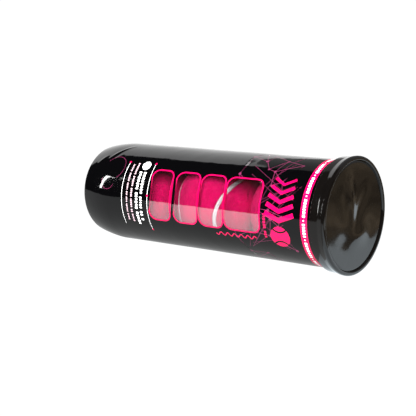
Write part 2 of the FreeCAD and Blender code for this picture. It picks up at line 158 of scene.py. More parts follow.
def rounded_outline(corners, steps=6):
    """Points (x, r) through corners (x, r, fillet), each corner rounded by its fillet."""
    points = []
    for i, (x, r, fillet) in enumerate(corners):
        here = Vector((x, r))
        if not fillet:
            points.append((x, r))
            continue
        back = (Vector(corners[i - 1][:2]) - here).normalized()
        on = (Vector(corners[(i + 1) % len(corners)][:2]) - here).normalized()
        half = back.angle(on) / 2
        centre = here + (back + on).normalized() * (fillet / math.sin(half))
        start = here + back * (fillet / math.tan(half)) - centre
        turn = start.angle_signed(here + on * (fillet / math.tan(half)) - centre)
        for step in range(steps + 1):
            p = centre + Matrix.Rotation(-turn * step / steps, 2) @ start
            points.append((p.x, p.y))
    return points


def turned(name, outline, finishes, segments=192, smooth_angle=40, lift=None):
    """A closed outline of points (x, r) turned about the can's axis; lift shifts a point along x."""
    points, rings = [], []
    for x, r in outline:
        if r < 1e-6:
            rings.append([len(points)] * segments)
            points.append((x + (lift(x, 0, 0) if lift else 0), 0, 0))
            continue
        rings.append(range(len(points), len(points) + segments))
        for s in range(segments):
            a = 2 * math.pi * s / segments
            y, z = -r * math.sin(a), r * math.cos(a)
            points.append((x + (lift(x, y, z) if lift else 0), y, z))
    faces = []
    for i, ring in enumerate(rings):
        after = rings[(i + 1) % len(rings)]
        for s in range(segments):
            t = (s + 1) % segments
            face = list(dict.fromkeys((ring[s], after[s], after[t], ring[t])))
            if len(face) > 2:
                faces.append(face)
    piece = new_piece(name, points, faces, finishes, smooth_angle)
    outwards(piece)
    return piece


def outwards(piece):
    """Turns a closed piece's faces to point out of it."""
    bm = bmesh.new()
    bm.from_mesh(piece.data)
    bmesh.ops.recalc_face_normals(bm, faces=bm.faces)
    bm.to_mesh(piece.data)
    bm.free()


# ---- finishes ----
class Recipe:
    """A new material, or world, and a short way to add and join its nodes."""

    def __init__(self, name, store="materials"):
        self.made = getattr(bpy.data, store).new(name)
        self.made.use_nodes = True
        self.tree = self.made.node_tree
        self.tree.nodes.clear()
        self.place = self.add("ShaderNodeTexCoord").outputs["Object"]

    def add(self, kind, setup=None, **inputs):
        """A node with its settings, and its inputs by name, or by number as i0, i1."""
        node = self.tree.nodes.new(kind)
        for key, value in (setup or {}).items():
            setattr(node, key, value)
        for key, value in inputs.items():
            socket = node.inputs[int(key[1:])] if key[1:].isdigit() else node.inputs[key.replace("_", " ")]
            if isinstance(value, bpy.types.NodeSocket):
                self.tree.links.new(value, socket)
            else:
                socket.default_value = value
        return node

    def noise(self, scale, detail=3.0, rough=0.5, at=None):
        """A noise over the piece; scale is in patches to a metre."""
        place = at or self.place
        node = self.add("ShaderNodeTexNoise", Vector=place, Scale=scale, Detail=detail, Roughness=rough)
        return node.outputs["Fac"]

    def spread(self, value, between, onto):
        """A value between two limits, stretched onto two others and held there outside them."""
        (low, high), (to_low, to_high) = between, onto
        ramp = self.add(
            "ShaderNodeMapRange",
            Value=value, From_Min=low, From_Max=high, To_Min=to_low, To_Max=to_high,
        )
        return ramp.outputs["Result"]

    def blend(self, fac, first, second):
        """Two colours mixed by a factor."""
        mix = self.add("ShaderNodeMix", {"data_type": "RGBA"}, Factor=fac, i6=first, i7=second)
        return mix.outputs[2]

    def stretched(self, scale):
        """The place on the piece, scaled apart along the three axes."""
        return self.add("ShaderNodeMapping", Vector=self.place, Scale=scale).outputs["Vector"]

    def bump(self, height, strength, distance):
        """The surface's normal, tipped by a height; distance is in metres."""
        node = self.add("ShaderNodeBump", Height=height, Strength=strength, Distance=distance)
        return node.outputs["Normal"]

    def done(self, shader, output="ShaderNodeOutputMaterial"):
        """The material or world, with a shader on its surface."""
        self.add(output, Surface=shader.outputs[0])
        return self.made


def rgba(colour, share=1.0):
    """A colour with its alpha, darkened to a share."""
    return (*[c * share for c in colour[:3]], 1.0)


def printed_finish(name, colour, second=0.82):
    """Glossy ink under shrunk film, with faint mottling and the film's slight waviness."""
    r = Recipe(name)
    mottle = r.noise(scale=900.0, detail=4.0, rough=0.6)
    wave = r.noise(scale=70.0, detail=2.0, rough=0.4)
    haze = r.noise(scale=260.0, detail=3.0, rough=0.6)
    shade = r.blend(r.spread(mottle, (0.3, 0.7), (0.0, 1.0)), rgba(colour), rgba(colour, second))
    return r.done(r.add(
        "ShaderNodeBsdfPrincipled",
        Base_Color=shade,
        Roughness=r.spread(haze, (0.3, 0.7), (0.035, 0.085)),
        IOR=1.5,
        Normal=r.bump(wave, strength=0.35, distance=0.0006),
    ))


def clear_finish(name, tint, facing_share, wave_scale, roughness):
    """Clear film or plastic: what shows through it, and a reflection that grows towards its edges."""
    r = Recipe(name)
    wave = r.noise(scale=wave_scale, detail=2.0, rough=0.4)
    normal = r.bump(wave, strength=0.3, distance=0.0006)
    facing = r.add("ShaderNodeLayerWeight", Blend=0.5, Normal=normal).outputs["Facing"]
    rise = r.add("ShaderNodeMath", {"operation": "POWER"}, i0=facing, i1=5.0).outputs[0]
    fresnel = r.spread(rise, (0.0, 1.0), (facing_share, 1.0))
    haze = r.noise(scale=320.0, detail=3.0, rough=0.6)
    through = r.add("ShaderNodeBsdfTransparent", Color=rgba(tint)).outputs[0]
    gloss = r.add(
        "ShaderNodeBsdfGlossy",
        Color=(1, 1, 1, 1),
        Roughness=r.spread(haze, (0.3, 0.7), (roughness * 0.6, roughness * 1.4)),
        Normal=normal,
    ).outputs[0]
    return r.done(r.add("ShaderNodeMixShader", Fac=fresnel, i1=through, i2=gloss))


def felt_finish(name, colour):
    """Dense woolly nap: fibre-fine bump, clumps and paler tips."""
    r = Recipe(name)
    fibre = r.noise(scale=2600.0, detail=5.0, rough=0.7)
    clump = r.noise(scale=620.0, detail=5.0, rough=0.7)
    height = r.add("ShaderNodeMath", {"operation": "ADD"}, i0=fibre, i1=clump).outputs[0]
    shade = r.blend(r.spread(fibre, (0.35, 0.65), (0.0, 1.0)), rgba(colour, 0.66), rgba(colour))
    shade = r.blend(r.spread(clump, (0.25, 0.5), (0.4, 0.0)), shade, rgba(colour, 0.25))
    shade = r.blend(r.spread(clump, (0.55, 0.75), (0.0, 0.35)), shade, (1.0, 0.12, 0.34, 1))
    return r.done(r.add(
        "ShaderNodeBsdfPrincipled",
        Base_Color=shade,
        Roughness=0.95,
        IOR=1.4,
        Specular_IOR_Level=0.15,
        Sheen_Weight=0.15,
        Sheen_Roughness=0.5,
        Sheen_Tint=(1.0, 0.2, 0.45, 1),
        Normal=r.bump(height, strength=0.8, distance=0.0006),
    ))


def rubber_finish(name, colour, grain=1400.0, roughness=0.6):
    """Matt rubber or sealant with a fine grain."""
    r = Recipe(name)
    fine = r.noise(scale=grain, detail=4.0, rough=0.6)
    shade = r.blend(r.spread(fine, (0.35, 0.7), (0.0, 1.0)), rgba(colour, 0.8), rgba(colour))
    return r.done(r.add(
        "ShaderNodeBsdfPrincipled",
        Base_Color=shade,
        Roughness=r.spread(fine, (0.3, 0.7), (roughness - 0.1, roughness + 0.1)),
        IOR=1.5,
        Normal=r.bump(fine, strength=0.4, distance=0.0002),
    ))


def moulded_finish(name, colour):
    """Polished black polypropylene with faint flow marks and fine scuffs."""
    r = Recipe(name)
    flow = r.noise(scale=95.0, detail=3.0, rough=0.5)
    drawn = r.stretched((240.0, 1400.0, 1400.0))
    scuff = r.noise(scale=1.0, detail=5.0, rough=0.7, at=drawn)
    return r.done(r.add(
        "ShaderNodeBsdfPrincipled",
        Base_Color=r.blend(flow, rgba(colour, 0.7), rgba(colour, 1.25)),
        Roughness=r.spread(scuff, (0.35, 0.75), (0.06, 0.16)),
        IOR=1.5,
        Normal=r.bump(flow, strength=0.12, distance=0.0006),
    ))


def rolled_metal_finish(name, colour, direction):
    """Rolled aluminium: long fine grain along one direction and patches that are more polished."""
    r = Recipe(name)
    grain = r.noise(scale=1.0, detail=5.0, rough=0.65, at=r.stretched(direction))
    patch = r.noise(scale=160.0, detail=3.0, rough=0.5)
    base = r.spread(patch, (0, 1), (0.08, 0.2))
    rough = r.add("ShaderNodeMath", {"operation": "MULTIPLY_ADD"}, i0=grain, i1=0.22, i2=base).outputs[0]
    return r.done(r.add(
        "ShaderNodeBsdfPrincipled",
        Base_Color=r.blend(r.spread(patch, (0.3, 0.7), (0, 1)), rgba(colour, 0.88), rgba(colour)),
        Metallic=1.0,
        Roughness=rough,
        Normal=r.bump(grain, strength=0.15, distance=0.0001),
    ))


# ---- printed sleeve ----
def sleeve_profile():
    """The sleeve's outer contour as rows (distance along it, x, r, angle of its normal)."""
    rows = []
    film = SLEEVE_RADIUS - SLEEVE_BORE
    for angle in np.linspace(SLEEVE_HEEL_ANGLE, HEEL_JOIN, HEEL_ROWS):
        a = math.radians(angle)
        radius = HEEL_RADIUS + film
        rows.append((HEEL_RADIUS + radius * math.cos(a), HEEL_TOP + radius * math.sin(a), a))
    for angle in np.linspace(HEEL_JOIN, STRAIGHT_OUT, SHOULDER_ROWS)[1:]:
        a = math.radians(angle)
        radius = SHOULDER_RADIUS + film
        rows.append((SHOULDER_LENGTH + radius * math.cos(a), SHOULDER_CENTRE + radius * math.sin(a), a))
    rows.append((SLEEVE_END, SLEEVE_RADIUS, math.pi / 2))
    rows = np.array(rows)
    steps = np.hypot(np.diff(rows[:, 0]), np.diff(rows[:, 1]))
    return np.column_stack([np.concatenate([[0], np.cumsum(steps)]), rows])


PROFILE = sleeve_profile()
SLEEVE_LENGTH = PROFILE[-1, 0]
LAP_EDGE = SLEEVE_RADIUS * math.radians(LAP_ANGLE)
FAR_EDGE = SLEEVE_RADIUS * math.radians(LAP_ANGLE - TURN)

# creases that shrinking leaves near the heel: start and end (along, angle), height, width
CREASES = (
    (21.0, 40.0, 33.0, 14.0, 0.50, 1.3),
    (26.0, 42.0, 31.0, 33.0, 0.22, 1.1),
    (11.0, 48.0, 17.0, 36.0, 0.28, 1.5),
    (20.0, -40.0, 32.0, -52.0, 0.35, 0.9),
    (14.0, -120.0, 26.0, -110.0, 0.35, 0.9),
    (16.0, 150.0, 28.0, 160.0, 0.30, 0.9),
    (200.0, -20.0, 206.0, -26.0, 0.15, 0.8),
)


def film_height(u, w):
    """How far the film stands off its smooth shape, at arrays of distance along and round."""
    height = np.zeros_like(u)
    for u0, a0, u1, a1, tall, wide in CREASES:
        w0, w1 = SLEEVE_RADIUS * math.radians(a0), SLEEVE_RADIUS * math.radians(a1)
        du, dw = u1 - u0, w1 - w0
        t = np.clip(((u - u0) * du + (w - w0) * dw) / (du * du + dw * dw), 0, 1)
        off = np.hypot(u - u0 - t * du, w - w0 - t * dw)
        height += tall * np.sin(np.pi * (0.1 + 0.8 * t)) * np.exp(-((off / wide) ** 2))
    lap_rise = np.clip((w - (LAP_EDGE - LAP_WIDTH)) / LAP_RISE, 0, 1)
    lap_fall = np.clip((LAP_EDGE - w) / LAP_FALL, 0, 1)
    along_wave = np.sin(u / 9.0 + 1.3 * np.sin(w / 11.0))
    round_wave = np.sin(w / SLEEVE_RADIUS * 7 + u / 31.0)
    wave = RIPPLE * (along_wave + round_wave) * np.clip(u / RIPPLE_START, 0, 1)
    return height + LAP_STEP * lap_rise * lap_fall + wave


def on_sleeve(u, w, inset=0.0, ripple=True):
    """Points and normals on the sleeve for arrays of distance along it and round it."""
    x = np.interp(u, PROFILE[:, 0], PROFILE[:, 1])
    r = np.interp(u, PROFILE[:, 0], PROFILE[:, 2])
    tilt = np.interp(u, PROFILE[:, 0], PROFILE[:, 3])
    phi = w / SLEEVE_RADIUS
    radial = np.column_stack([np.zeros_like(phi), -np.sin(phi), np.cos(phi)])
    round_way = np.column_stack([np.zeros_like(phi), -np.cos(phi), -np.sin(phi)])
    along_axis = np.array([1.0, 0, 0])
    normal = np.cos(tilt)[:, None] * along_axis + np.sin(tilt)[:, None] * radial
    along = np.sin(tilt)[:, None] * along_axis - np.cos(tilt)[:, None] * radial
    lift = film_height(u, w) if ripple else np.zeros_like(u)
    points = x[:, None] * along_axis + r[:, None] * radial + (lift - inset)[:, None] * normal
    if ripple:
        step = SLOPE_STEP
        slope_u = (film_height(u + step, w) - film_height(u - step, w)) / (2 * step)
        slope_w = (film_height(u, w + step) - film_height(u, w - step)) / (2 * step)
        normal = normal - slope_u[:, None] * along - slope_w[:, None] * round_way
        normal /= np.linalg.norm(normal, axis=1)[:, None]
    return points, normal


# ---- artwork: levels in mm from the standing ring, angles in degrees round from the top ----
BLACK, PINK, WHITE, DULL, CLEAR, PALE, BACKING = range(7)
WINDOWS = ((70.1, 89.6), (92.9, 113.9), (115.5, 136.4), (137.6, 167.4))
WINDOW_ANGLES = (49.5, 109.5)
WINDOW_EDGE = 0.5  # half the width of a window's outline
WINDOW_EDGE_ANGLE = 1.6  # the same outline's width, as an angle
WINDOW_CORNER = 6.5
RULES = (  # level, first and last angle, angles of its dots
    (43.6, 43.6, 120.0, (43.6,)),
    (68.4, 43.0, 124.0, (43.0, 82.0, 124.0)),
)
RULE_WIDTH = 0.34
RULE_DOT = 0.85
PRINT_LINES = (  # level, first and last angle, height, ink
    (62.2, 55.0, 113.0, 2.3, WHITE),
    (58.0, 55.0, 118.0, 2.4, WHITE),
    (53.0, 44.0, 116.0, 1.5, PALE),
    (48.6, 46.0, 114.0, 1.3, PALE),
)
LETTER_GAP = 0.3  # gaps in a line of print, as shares of its height
WORD_GAP = 0.7
SIGN_LEVEL = 183.2
WEB_ROWS = (147.0, 156.0, 165.0, 174.0, 183.0, 192.0)
WEB_PITCH = 18
WEB_FULLNESS = 0.62  # share of the web's places that hold a knot
WEB_LINE = 0.36
FINE_LINE = 0.2
BASE_RING_LINE = 0.3
ART_SEED = 11
SHOULDER_END = 34.0  # distance along the sleeve up to which its mesh is finer
MERGE = 1e-5
SAME_EDGE = 1e-4
BAND = (200.0, 205.3)
BAND_PRINT = (201.6, 203.7)


def at_angle(x, angle):
    """A point of the artwork from its level on the can and its angle round from the top."""
    return float(np.interp(x, PROFILE[:, 1], PROFILE[:, 0])), SLEEVE_RADIUS * math.radians(angle)


def round_box(x0, x1, a0, a1, radius, steps=7):
    """A rectangle with round corners, between two levels and two angles."""
    (u0, w0), (u1, w1) = at_angle(x0, a0), at_angle(x1, a1)
    radius = min(radius, (u1 - u0) / 2, (w1 - w0) / 2)
    u0, u1, w0, w1 = u0 + radius, u1 - radius, w0 + radius, w1 - radius
    points = []
    for start, centre in ((0, (u1, w1)), (90, (u0, w1)), (180, (u0, w0)), (270, (u1, w0))):
        points += arc_points(centre, radius, start, start + 90, steps)
    return points


def dot(x, angle, radius, steps=20):
    """A filled circle."""
    return arc_points(at_angle(x, angle), radius, 0, TURN, steps)[:-1]


def ribbon(points, width):
    """A line of that width through points of the artwork."""
    line = [Vector(p) for p in points]
    left, right = [], []
    for i, here in enumerate(line):
        before = (here - line[i - 1]).normalized() if i else None
        after = (line[i + 1] - here).normalized() if i < len(line) - 1 else None
        way = ((before or after) + (after or before)).normalized()
        side = Vector((-way.y, way.x)) * (width / 2)
        left.append(tuple(here + side))
        right.append(tuple(here - side))
    return left + right[::-1]


def arc_line(x, angle, radius, start, end, width, steps=14):
    """Part of a circle drawn as a line."""
    return ribbon(arc_points(at_angle(x, angle), radius, start, end, steps), width)


def ball_sign(x, angle, radius, ink, ground=BLACK):
    """A plain ball pictogram: a disc with two seam lines in the colour under it."""
    aside = math.degrees(1.45 * radius / SLEEVE_RADIUS)
    return [
        (ink, dot(x, angle, radius, 28)),
        (ground, arc_line(x, angle + aside, radius, 215, 325, radius * 0.16)),
        (ground, arc_line(x, angle - aside, radius, 35, 145, radius * 0.16)),
    ]


def small_print(draw, ink, x, a0, a1, tall):
    """Words of plain little blocks round the can, standing in for a line of print."""
    shapes, angle = [], a0
    height = tall / math.radians(SLEEVE_RADIUS)  # the line's height, as an angle round the can
    while angle < a1 - 2:
        for _ in range(draw.randint(2, 8)):
            wide = draw.uniform(0.42, 0.72) * height
            low = x - tall / 2 * draw.choice((1.0, 1.0, 0.72))
            if angle + wide > a1:
                break
            shapes.append((ink, round_box(low, x + tall / 2, angle, angle + wide, tall * 0.12, 2)))
            angle += wide + LETTER_GAP * height
        angle += WORD_GAP * height
    return shapes


def web_of_lines(draw, turn):
    """Thin lines joining scattered dots, over the end of the can near its cap."""
    knots = []
    for row, x in enumerate(WEB_ROWS):
        for column in range(9):
            angle = -4 + WEB_PITCH * column + (WEB_PITCH / 2 if row % 2 else 0) + draw.uniform(-6, 6)
            if draw.random() < WEB_FULLNESS:
                knots.append((x + draw.uniform(-3.2, 3.2), angle, draw.uniform(0.5, 1.25)))
    shapes = []
    for i, (x, angle, _) in enumerate(knots):
        near = sorted(
            range(len(knots)),
            key=lambda j: math.hypot(knots[j][0] - x, (knots[j][1] - angle) * math.radians(SLEEVE_RADIUS)),
        )[1:4]
        for j in near:
            if i < j or i not in near:
                a, b = at_angle(x, angle + turn), at_angle(knots[j][0], knots[j][1] + turn)
                shapes.append((DULL, ribbon([a, b], WEB_LINE)))
    for _ in range(14):
        a = at_angle(draw.uniform(146, 160), draw.uniform(0, 140) + turn)
        b = at_angle(draw.uniform(180, 199), draw.uniform(0, 140) + turn)
        shapes.append((DULL, ribbon([a, b], FINE_LINE)))
    return shapes + [(DULL, dot(x, angle + turn, size, 14)) for x, angle, size in knots]


def loose_wave(turn):
    """A line of six waves under the windows."""
    start, length, angle, height, waves = 129.0, 34.0, 115.4, 1.9, 6
    shares = np.linspace(0, 1, 61)
    tops = turn + angle + height * np.sin(2 * math.pi * waves * shares)
    return [at_angle(start + length * share, top) for share, top in zip(shares, tops)]


def chevrons(turn):
    """Five nested chevrons that grow towards the floor."""
    shapes = []
    for step in range(5):
        angle = 46.5 + 9.6 * step + turn
        wide = 8.2 + 0.8 * step
        tip = at_angle(SIGN_LEVEL, angle + 7.0)
        bent = [at_angle(SIGN_LEVEL - wide, angle), tip, at_angle(SIGN_LEVEL + wide, angle)]
        shapes.append((PINK, ribbon(bent, 2.0 + 0.35 * step)))
    return shapes


def front_art(draw, turn):
    """One face of the print: windows, rules, stand-in lines of print, plain signs and the web of lines."""
    shapes = web_of_lines(draw, turn)
    for x, a0, a1, dots in RULES:
        line = [at_angle(x, a + turn) for a in np.linspace(a0, a1, 20)]
        shapes.append((WHITE, ribbon(line, RULE_WIDTH)))
        shapes += [(PINK, dot(x, a + turn, RULE_DOT)) for a in dots]
    shapes += ball_sign(60.6, 46.5 + turn, 3.7, WHITE)
    for x, a0, a1, tall, ink in PRINT_LINES:
        shapes += small_print(draw, ink, x, a0 + turn, a1 + turn, tall)
    low, high = WINDOW_ANGLES
    edge = WINDOW_EDGE_ANGLE
    for x0, x1 in WINDOWS:
        outer = (x0 - WINDOW_EDGE, x1 + WINDOW_EDGE, low + turn, high + turn, WINDOW_CORNER)
        inner = (x0 + WINDOW_EDGE, x1 - WINDOW_EDGE, low + edge + turn, high - edge + turn)
        shapes.append((PINK, round_box(*outer, 10)))
        shapes.append((CLEAR, round_box(*inner, WINDOW_CORNER - 2 * WINDOW_EDGE, 10)))
    shapes.append((PINK, ribbon(loose_wave(turn), 0.75)))
    shapes += small_print(draw, PINK, 171.4, 86.0 + turn, 114.0 + turn, 2.0)
    shapes += chevrons(turn)
    shapes += ball_sign(SIGN_LEVEL, 110.0 + turn, 7.6, PINK)
    # rings near the base
    shapes.append((DULL, arc_line(31.0, 52.0 + turn, 9.5, -150, 60, BASE_RING_LINE, 26)))
    shapes.append((DULL, arc_line(28.0, 70.0 + turn, 6.0, 20, 200, BASE_RING_LINE, 20)))
    return shapes


def band_art(draw):
    """The band near the cap, all the way round, with white dashes and dots."""
    low, high = LAP_ANGLE - TURN, LAP_ANGLE
    edges = [[at_angle(x, a) for a in np.linspace(low, high, 181)] for x in BAND]
    shapes = [(PINK, edges[0] + edges[1][::-1])]
    angle = low + 4
    while angle < high - 12:
        for _ in range(draw.randint(4, 8)):
            wide = draw.uniform(1.5, 2.6)
            shapes.append((WHITE, round_box(*BAND_PRINT, angle, angle + wide, 0.25, 2)))
            angle += wide + 1.1
            if angle > high - 10:
                break
        shapes.append((WHITE, dot(202.6, angle + 2.2, 0.55, 10)))
        angle += 5.4
    return shapes


def closed_edges(start, count):
    """Edges of a closed outline whose points are numbered from start."""
    return [(start + i, start + (i + 1) % count) for i in range(count)]


def inside(points, shape):
    """Which of an array of points lie inside an outline."""
    corners = np.array(shape)
    found = np.zeros(len(points), bool)
    near = np.flatnonzero(np.all((points > corners.min(0)) & (points < corners.max(0)), axis=1))
    u, w = points[near, 0], points[near, 1]
    odd = np.zeros(len(near), bool)
    for (u0, w0), (u1, w1) in zip(corners, np.roll(corners, -1, 0)):
        if w0 != w1:
            odd ^= ((w0 > w) != (w1 > w)) & (u < (u1 - u0) * (w - w0) / (w1 - w0) + u0)
    found[near] = odd
    return found


def make_sleeve(finishes):
    """The sleeve's two skins, cut along every edge of its artwork, joined at both rims."""
    draw = random.Random(ART_SEED)
    shapes = front_art(draw, 0.0) + front_art(draw, -TURN / 2) + band_art(draw)
    rounds = np.linspace(FAR_EDGE, LAP_EDGE, 241)
    bend = np.arange(5.0, SHOULDER_END, 0.8)
    straight = np.arange(SHOULDER_END, SLEEVE_LENGTH - 1.5, 2.5)
    levels = np.concatenate([PROFILE[:HEEL_ROWS:2, 0], bend, straight, [SLEEVE_LENGTH]])
    levels = np.unique(np.round(levels, 6))
    verts = [(0.0, w) for w in rounds] + [(u, LAP_EDGE) for u in levels[1:]]
    verts += [(SLEEVE_LENGTH, w) for w in rounds[::-1][1:]] + [(u, FAR_EDGE) for u in levels[::-1][1:-1]]
    edges = closed_edges(0, len(verts))
    for _, shape in shapes:
        edges += closed_edges(len(verts), len(shape))
        verts += shape
    verts += [(u, w) for u in levels[1:-1] for w in rounds[1:-1]]
    # a finer patch where the deepest creases are
    verts += [(u, w) for u in np.arange(10.13, SHOULDER_END, 0.5) for w in np.arange(9.17, 26.0, 0.5)]
    flat, _, triangles, _, _, _ = delaunay_2d_cdt([Vector(v) for v in verts], edges, [], 0, MERGE)
    flat = np.array([tuple(v) for v in flat])
    middles = flat[np.array(triangles)].mean(1)
    finish = np.full(len(triangles), BLACK)
    for ink, shape in shapes:
        finish[inside(middles, shape)] = ink
    u = flat[:, 0]
    w = np.clip(flat[:, 1], FAR_EDGE, LAP_EDGE)
    # the two edges of the lap are the same line on the can
    at_level = {}
    merged = np.arange(len(flat))
    for i in np.flatnonzero(np.abs(w - FAR_EDGE) < SAME_EDGE):
        at_level[round(u[i], 3)] = i
    for i in np.flatnonzero(np.abs(w - LAP_EDGE) < SAME_EDGE):
        merged[i] = at_level.get(round(u[i], 3), i)
    outer, outer_normal = on_sleeve(u, w)
    inner, inner_normal = on_sleeve(u, w, FILM, ripple=False)
    count = len(flat)
    outer_faces, marks = [], []
    for triangle, mark in zip(triangles, finish):
        face = [int(merged[i]) for i in reversed(triangle)]
        if len(set(face)) == 3:
            outer_faces.append(face)
            marks.append(mark)
    inner_faces = [[i + count for i in face[::-1]] for face in outer_faces]
    ways = {(a, b): True for face in outer_faces for a, b in zip(face, face[1:] + face[:1])}
    rim_faces = [[b, a, a + count, b + count] for a, b in ways if (b, a) not in ways]
    backs = [CLEAR if mark == CLEAR else BACKING for mark in marks]
    points = np.concatenate([outer, inner])
    normals = np.concatenate([outer_normal, -inner_normal])
    used = sorted({i for face in outer_faces + inner_faces + rim_faces for i in face})
    index = {old: new for new, old in enumerate(used)}
    faces = [[index[i] for i in face] for face in outer_faces + inner_faces + rim_faces]
    marks = marks + backs + [BLACK] * len(rim_faces)
    sleeve = new_piece("printed_sleeve", points[used], faces, finishes, None, marks)
    turn = np.array(CAN.to_3x3()) / MM
    sleeve.data.normals_split_custom_set_from_vertices([tuple(n) for n in normals[used] @ turn.T])
    return sleeve


# ---- tube and overcap ----
GATE_RADIUS = 3.2  # of the flat round the mark that moulding leaves in the dome's middle


def make_tube(finish):
    """Blown tube: domed base with its gate, standing ring, heel, shoulder and the flange in the seam."""
    slim = SLEEVE_BORE - TUBE_RADIUS
    shoulder = (SHOULDER_LENGTH, SHOULDER_CENTRE)
    heel = (HEEL_RADIUS, HEEL_TOP)
    edge = HEEL_TOP - STANDING_RING_WIDTH
    dome = (edge**2 + DOME_HEIGHT**2) / (2 * DOME_HEIGHT)
    middle = (DOME_HEIGHT - dome, 0)

    def wall(inset):
        rim = math.sqrt((dome + inset) ** 2 - (inset - middle[0]) ** 2)
        rim_angle = math.degrees(math.atan2(rim, inset - middle[0]))
        nub, start = [], 0
        if not inset:
            nub = [(DOME_HEIGHT - 1.0, 0), (DOME_HEIGHT - 1.0, 1.1), (DOME_HEIGHT - 0.35, 1.5)]
            start = math.degrees(math.asin(GATE_RADIUS / dome))
        heel_round = HEEL_RADIUS - inset if inset else HEEL_RADIUS - slim
        return (
            nub
            + arc_points(middle, dome + inset, start, rim_angle - 0.6, 40)
            + [(inset, rim + 0.25), (inset, HEEL_TOP)]
            + arc_points(heel, heel_round, STRAIGHT_DOWN, HEEL_JOIN, 14)[1:]
            + arc_points(shoulder, SHOULDER_RADIUS - slim - inset, HEEL_JOIN, STRAIGHT_OUT, 40)[1:]
        )

    flange = SEAM_TOP - 0.5
    outer, inner = wall(0.0), wall(TUBE_WALL)
    top = [
        (flange - 0.5, TUBE_RADIUS),
        (flange - 0.45, TUBE_RADIUS + 0.2),
        (flange - 0.45, TUBE_RADIUS + 0.75),
        (flange - 0.05, TUBE_RADIUS + 0.75),
        (flange - 0.05, TUBE_RADIUS - TUBE_WALL + 0.25),
        (flange - 0.3, TUBE_RADIUS - TUBE_WALL),
    ]
    straight = [(x, TUBE_RADIUS) for x in np.linspace(SHOULDER_LENGTH, flange - 0.5, 40)[1:-1]]
    return turned("clear_tube", outer + straight + top + inner[::-1], [finish], 256, 30)


# dents of the cap's face: middle (y, z), width, length, lean in degrees, depth
CAP_DENTS = (
    (-4.0, 11.0, 4.5, 15.0, 12.0, 0.75),
    (9.0, 6.0, 5.0, 12.0, -32.0, -0.60),
    (-15.0, 8.0, 5.5, 13.0, 12.0, -0.35),
    (6.0, -15.0, 10.0, 6.0, 5.0, 0.70),
    (-12.0, -16.0, 9.0, 6.0, -12.0, -0.35),
    (20.0, -10.0, 7.0, 8.0, 20.0, -0.30),
)


def cap_dents(x, y, z):
    """How far the cap's flat face is drawn in and out, the way a thin moulding cools."""
    r = math.hypot(y, z)
    if r > 35.5:
        return 0.0
    fade = min(1.0, (35.5 - r) / 9.0) ** 1.5
    dents = 0.0
    for cy, cz, wide, long, lean, deep in CAP_DENTS:
        a = math.radians(lean)
        p = (y - cy) * math.cos(a) + (z - cz) * math.sin(a)
        q = -(y - cy) * math.sin(a) + (z - cz) * math.cos(a)
        dents += deep * math.exp(-((p / wide) ** 2) - (q / long) ** 2)
    return fade * dents - 0.35 * (1 - (r / 36.0) ** 2)


def make_overcap(finish):
    """Press-fit cap: drawn-in face, fine groove, round rim, flared skirt and a snap bead inside."""
    snap = SEAM_RADIUS + 0.3
    relief = snap + 0.3
    skirt = relief + 0.55
    face = CAP_TOP - 1.2
    under = face - 1.3
    widest = CAP_TOP - 1.5
    bead = under - 3.6
    outline = [
        (face, 36.35, 0.25),
        (face - 0.5, 36.45, 0.2),
        (face - 0.5, 37.05, 0.2),
        (CAP_TOP, 37.5, 0.55),
        (CAP_TOP, CAP_RADIUS, 1.5),
        (widest - 1.0, CAP_RADIUS, 1.4),
        (widest - 4.6, skirt + 0.15, 6.0),
        (CAP_LIP, skirt, 0.2),
        (CAP_LIP, relief, 0.2),
        (bead - 1.6, relief, 0.2),
        (bead - 0.6, snap, 0.2),
        (bead, snap, 0.2),
        (bead + 0.6, relief, 0.2),
        (under, relief, 0.2),
    ]
    disc = [(face, r) for r in np.linspace(0, 36.0, 49)]
    below = [(under, r) for r in np.linspace(36.0, 0, 25)]
    points = disc + rounded_outline(outline, 8) + below
    return turned("press_cap", points, [finish], 288, 35, cap_dents)


# ---- balls ----
# the line that each ball is rolled about, and by how many degrees, as its CAD pieces are
BALL_ROLLS = (
    ((-0.29, -0.61, -0.74), 333.0),
    ((-0.31, 0.77, -0.55), 209.0),
    ((0.9, 1.0, 0.4), 165.0),
)


def seam_line(count):
    """Points on a unit sphere along the ball's seam, and the way across it."""
    t = np.linspace(0, 2 * math.pi, count, endpoint=False)
    near, far = 1 - SEAM_WAVE, SEAM_WAVE
    line = np.column_stack([
        near * np.cos(t) + far * np.cos(3 * t),
        near * np.sin(t) - far * np.sin(3 * t),
        2 * math.sqrt(near * far) * np.sin(2 * t),
    ])
    along = np.roll(line, -1, 0) - np.roll(line, 1, 0)
    across = np.cross(line, along)
    return line, across / np.linalg.norm(across, axis=1)[:, None]


def ball_place(number):
    """A ball's centre in the can's own frame and how it lies."""
    points = np.concatenate([can_points(f"ball_{number}_{felt}") for felt in ("felt_a", "felt_b")])
    line, angle = BALL_ROLLS[number - 1]
    lie = Matrix.Rotation(math.radians(angle), 3, Vector(line).normalized())
    return (points.min(0) + points.max(0)) / 2, np.array(lie)


def quad_sphere(count):
    """Unit directions and faces of a cube blown up to a sphere, count squares to an edge."""
    ids, points, faces = {}, [], []

    def corner(i, j, k):
        if (i, j, k) not in ids:
            ids[(i, j, k)] = len(points)
            v = np.array([math.tan((c / count - 0.5) * math.pi / 2) for c in (i, j, k)])
            points.append(v / np.linalg.norm(v))
        return ids[(i, j, k)]

    for axis in range(3):
        for side in (0, count):
            for a in range(count):
                for b in range(count):
                    square = []
                    for da, db in ((0, 0), (1, 0), (1, 1), (0, 1)):
                        c = [0, 0, 0]
                        c[axis], c[(axis + 1) % 3], c[(axis + 2) % 3] = side, a + da, b + db
                        square.append(corner(*c))
                    faces.append(square if side else square[::-1])
    return np.array(points), faces


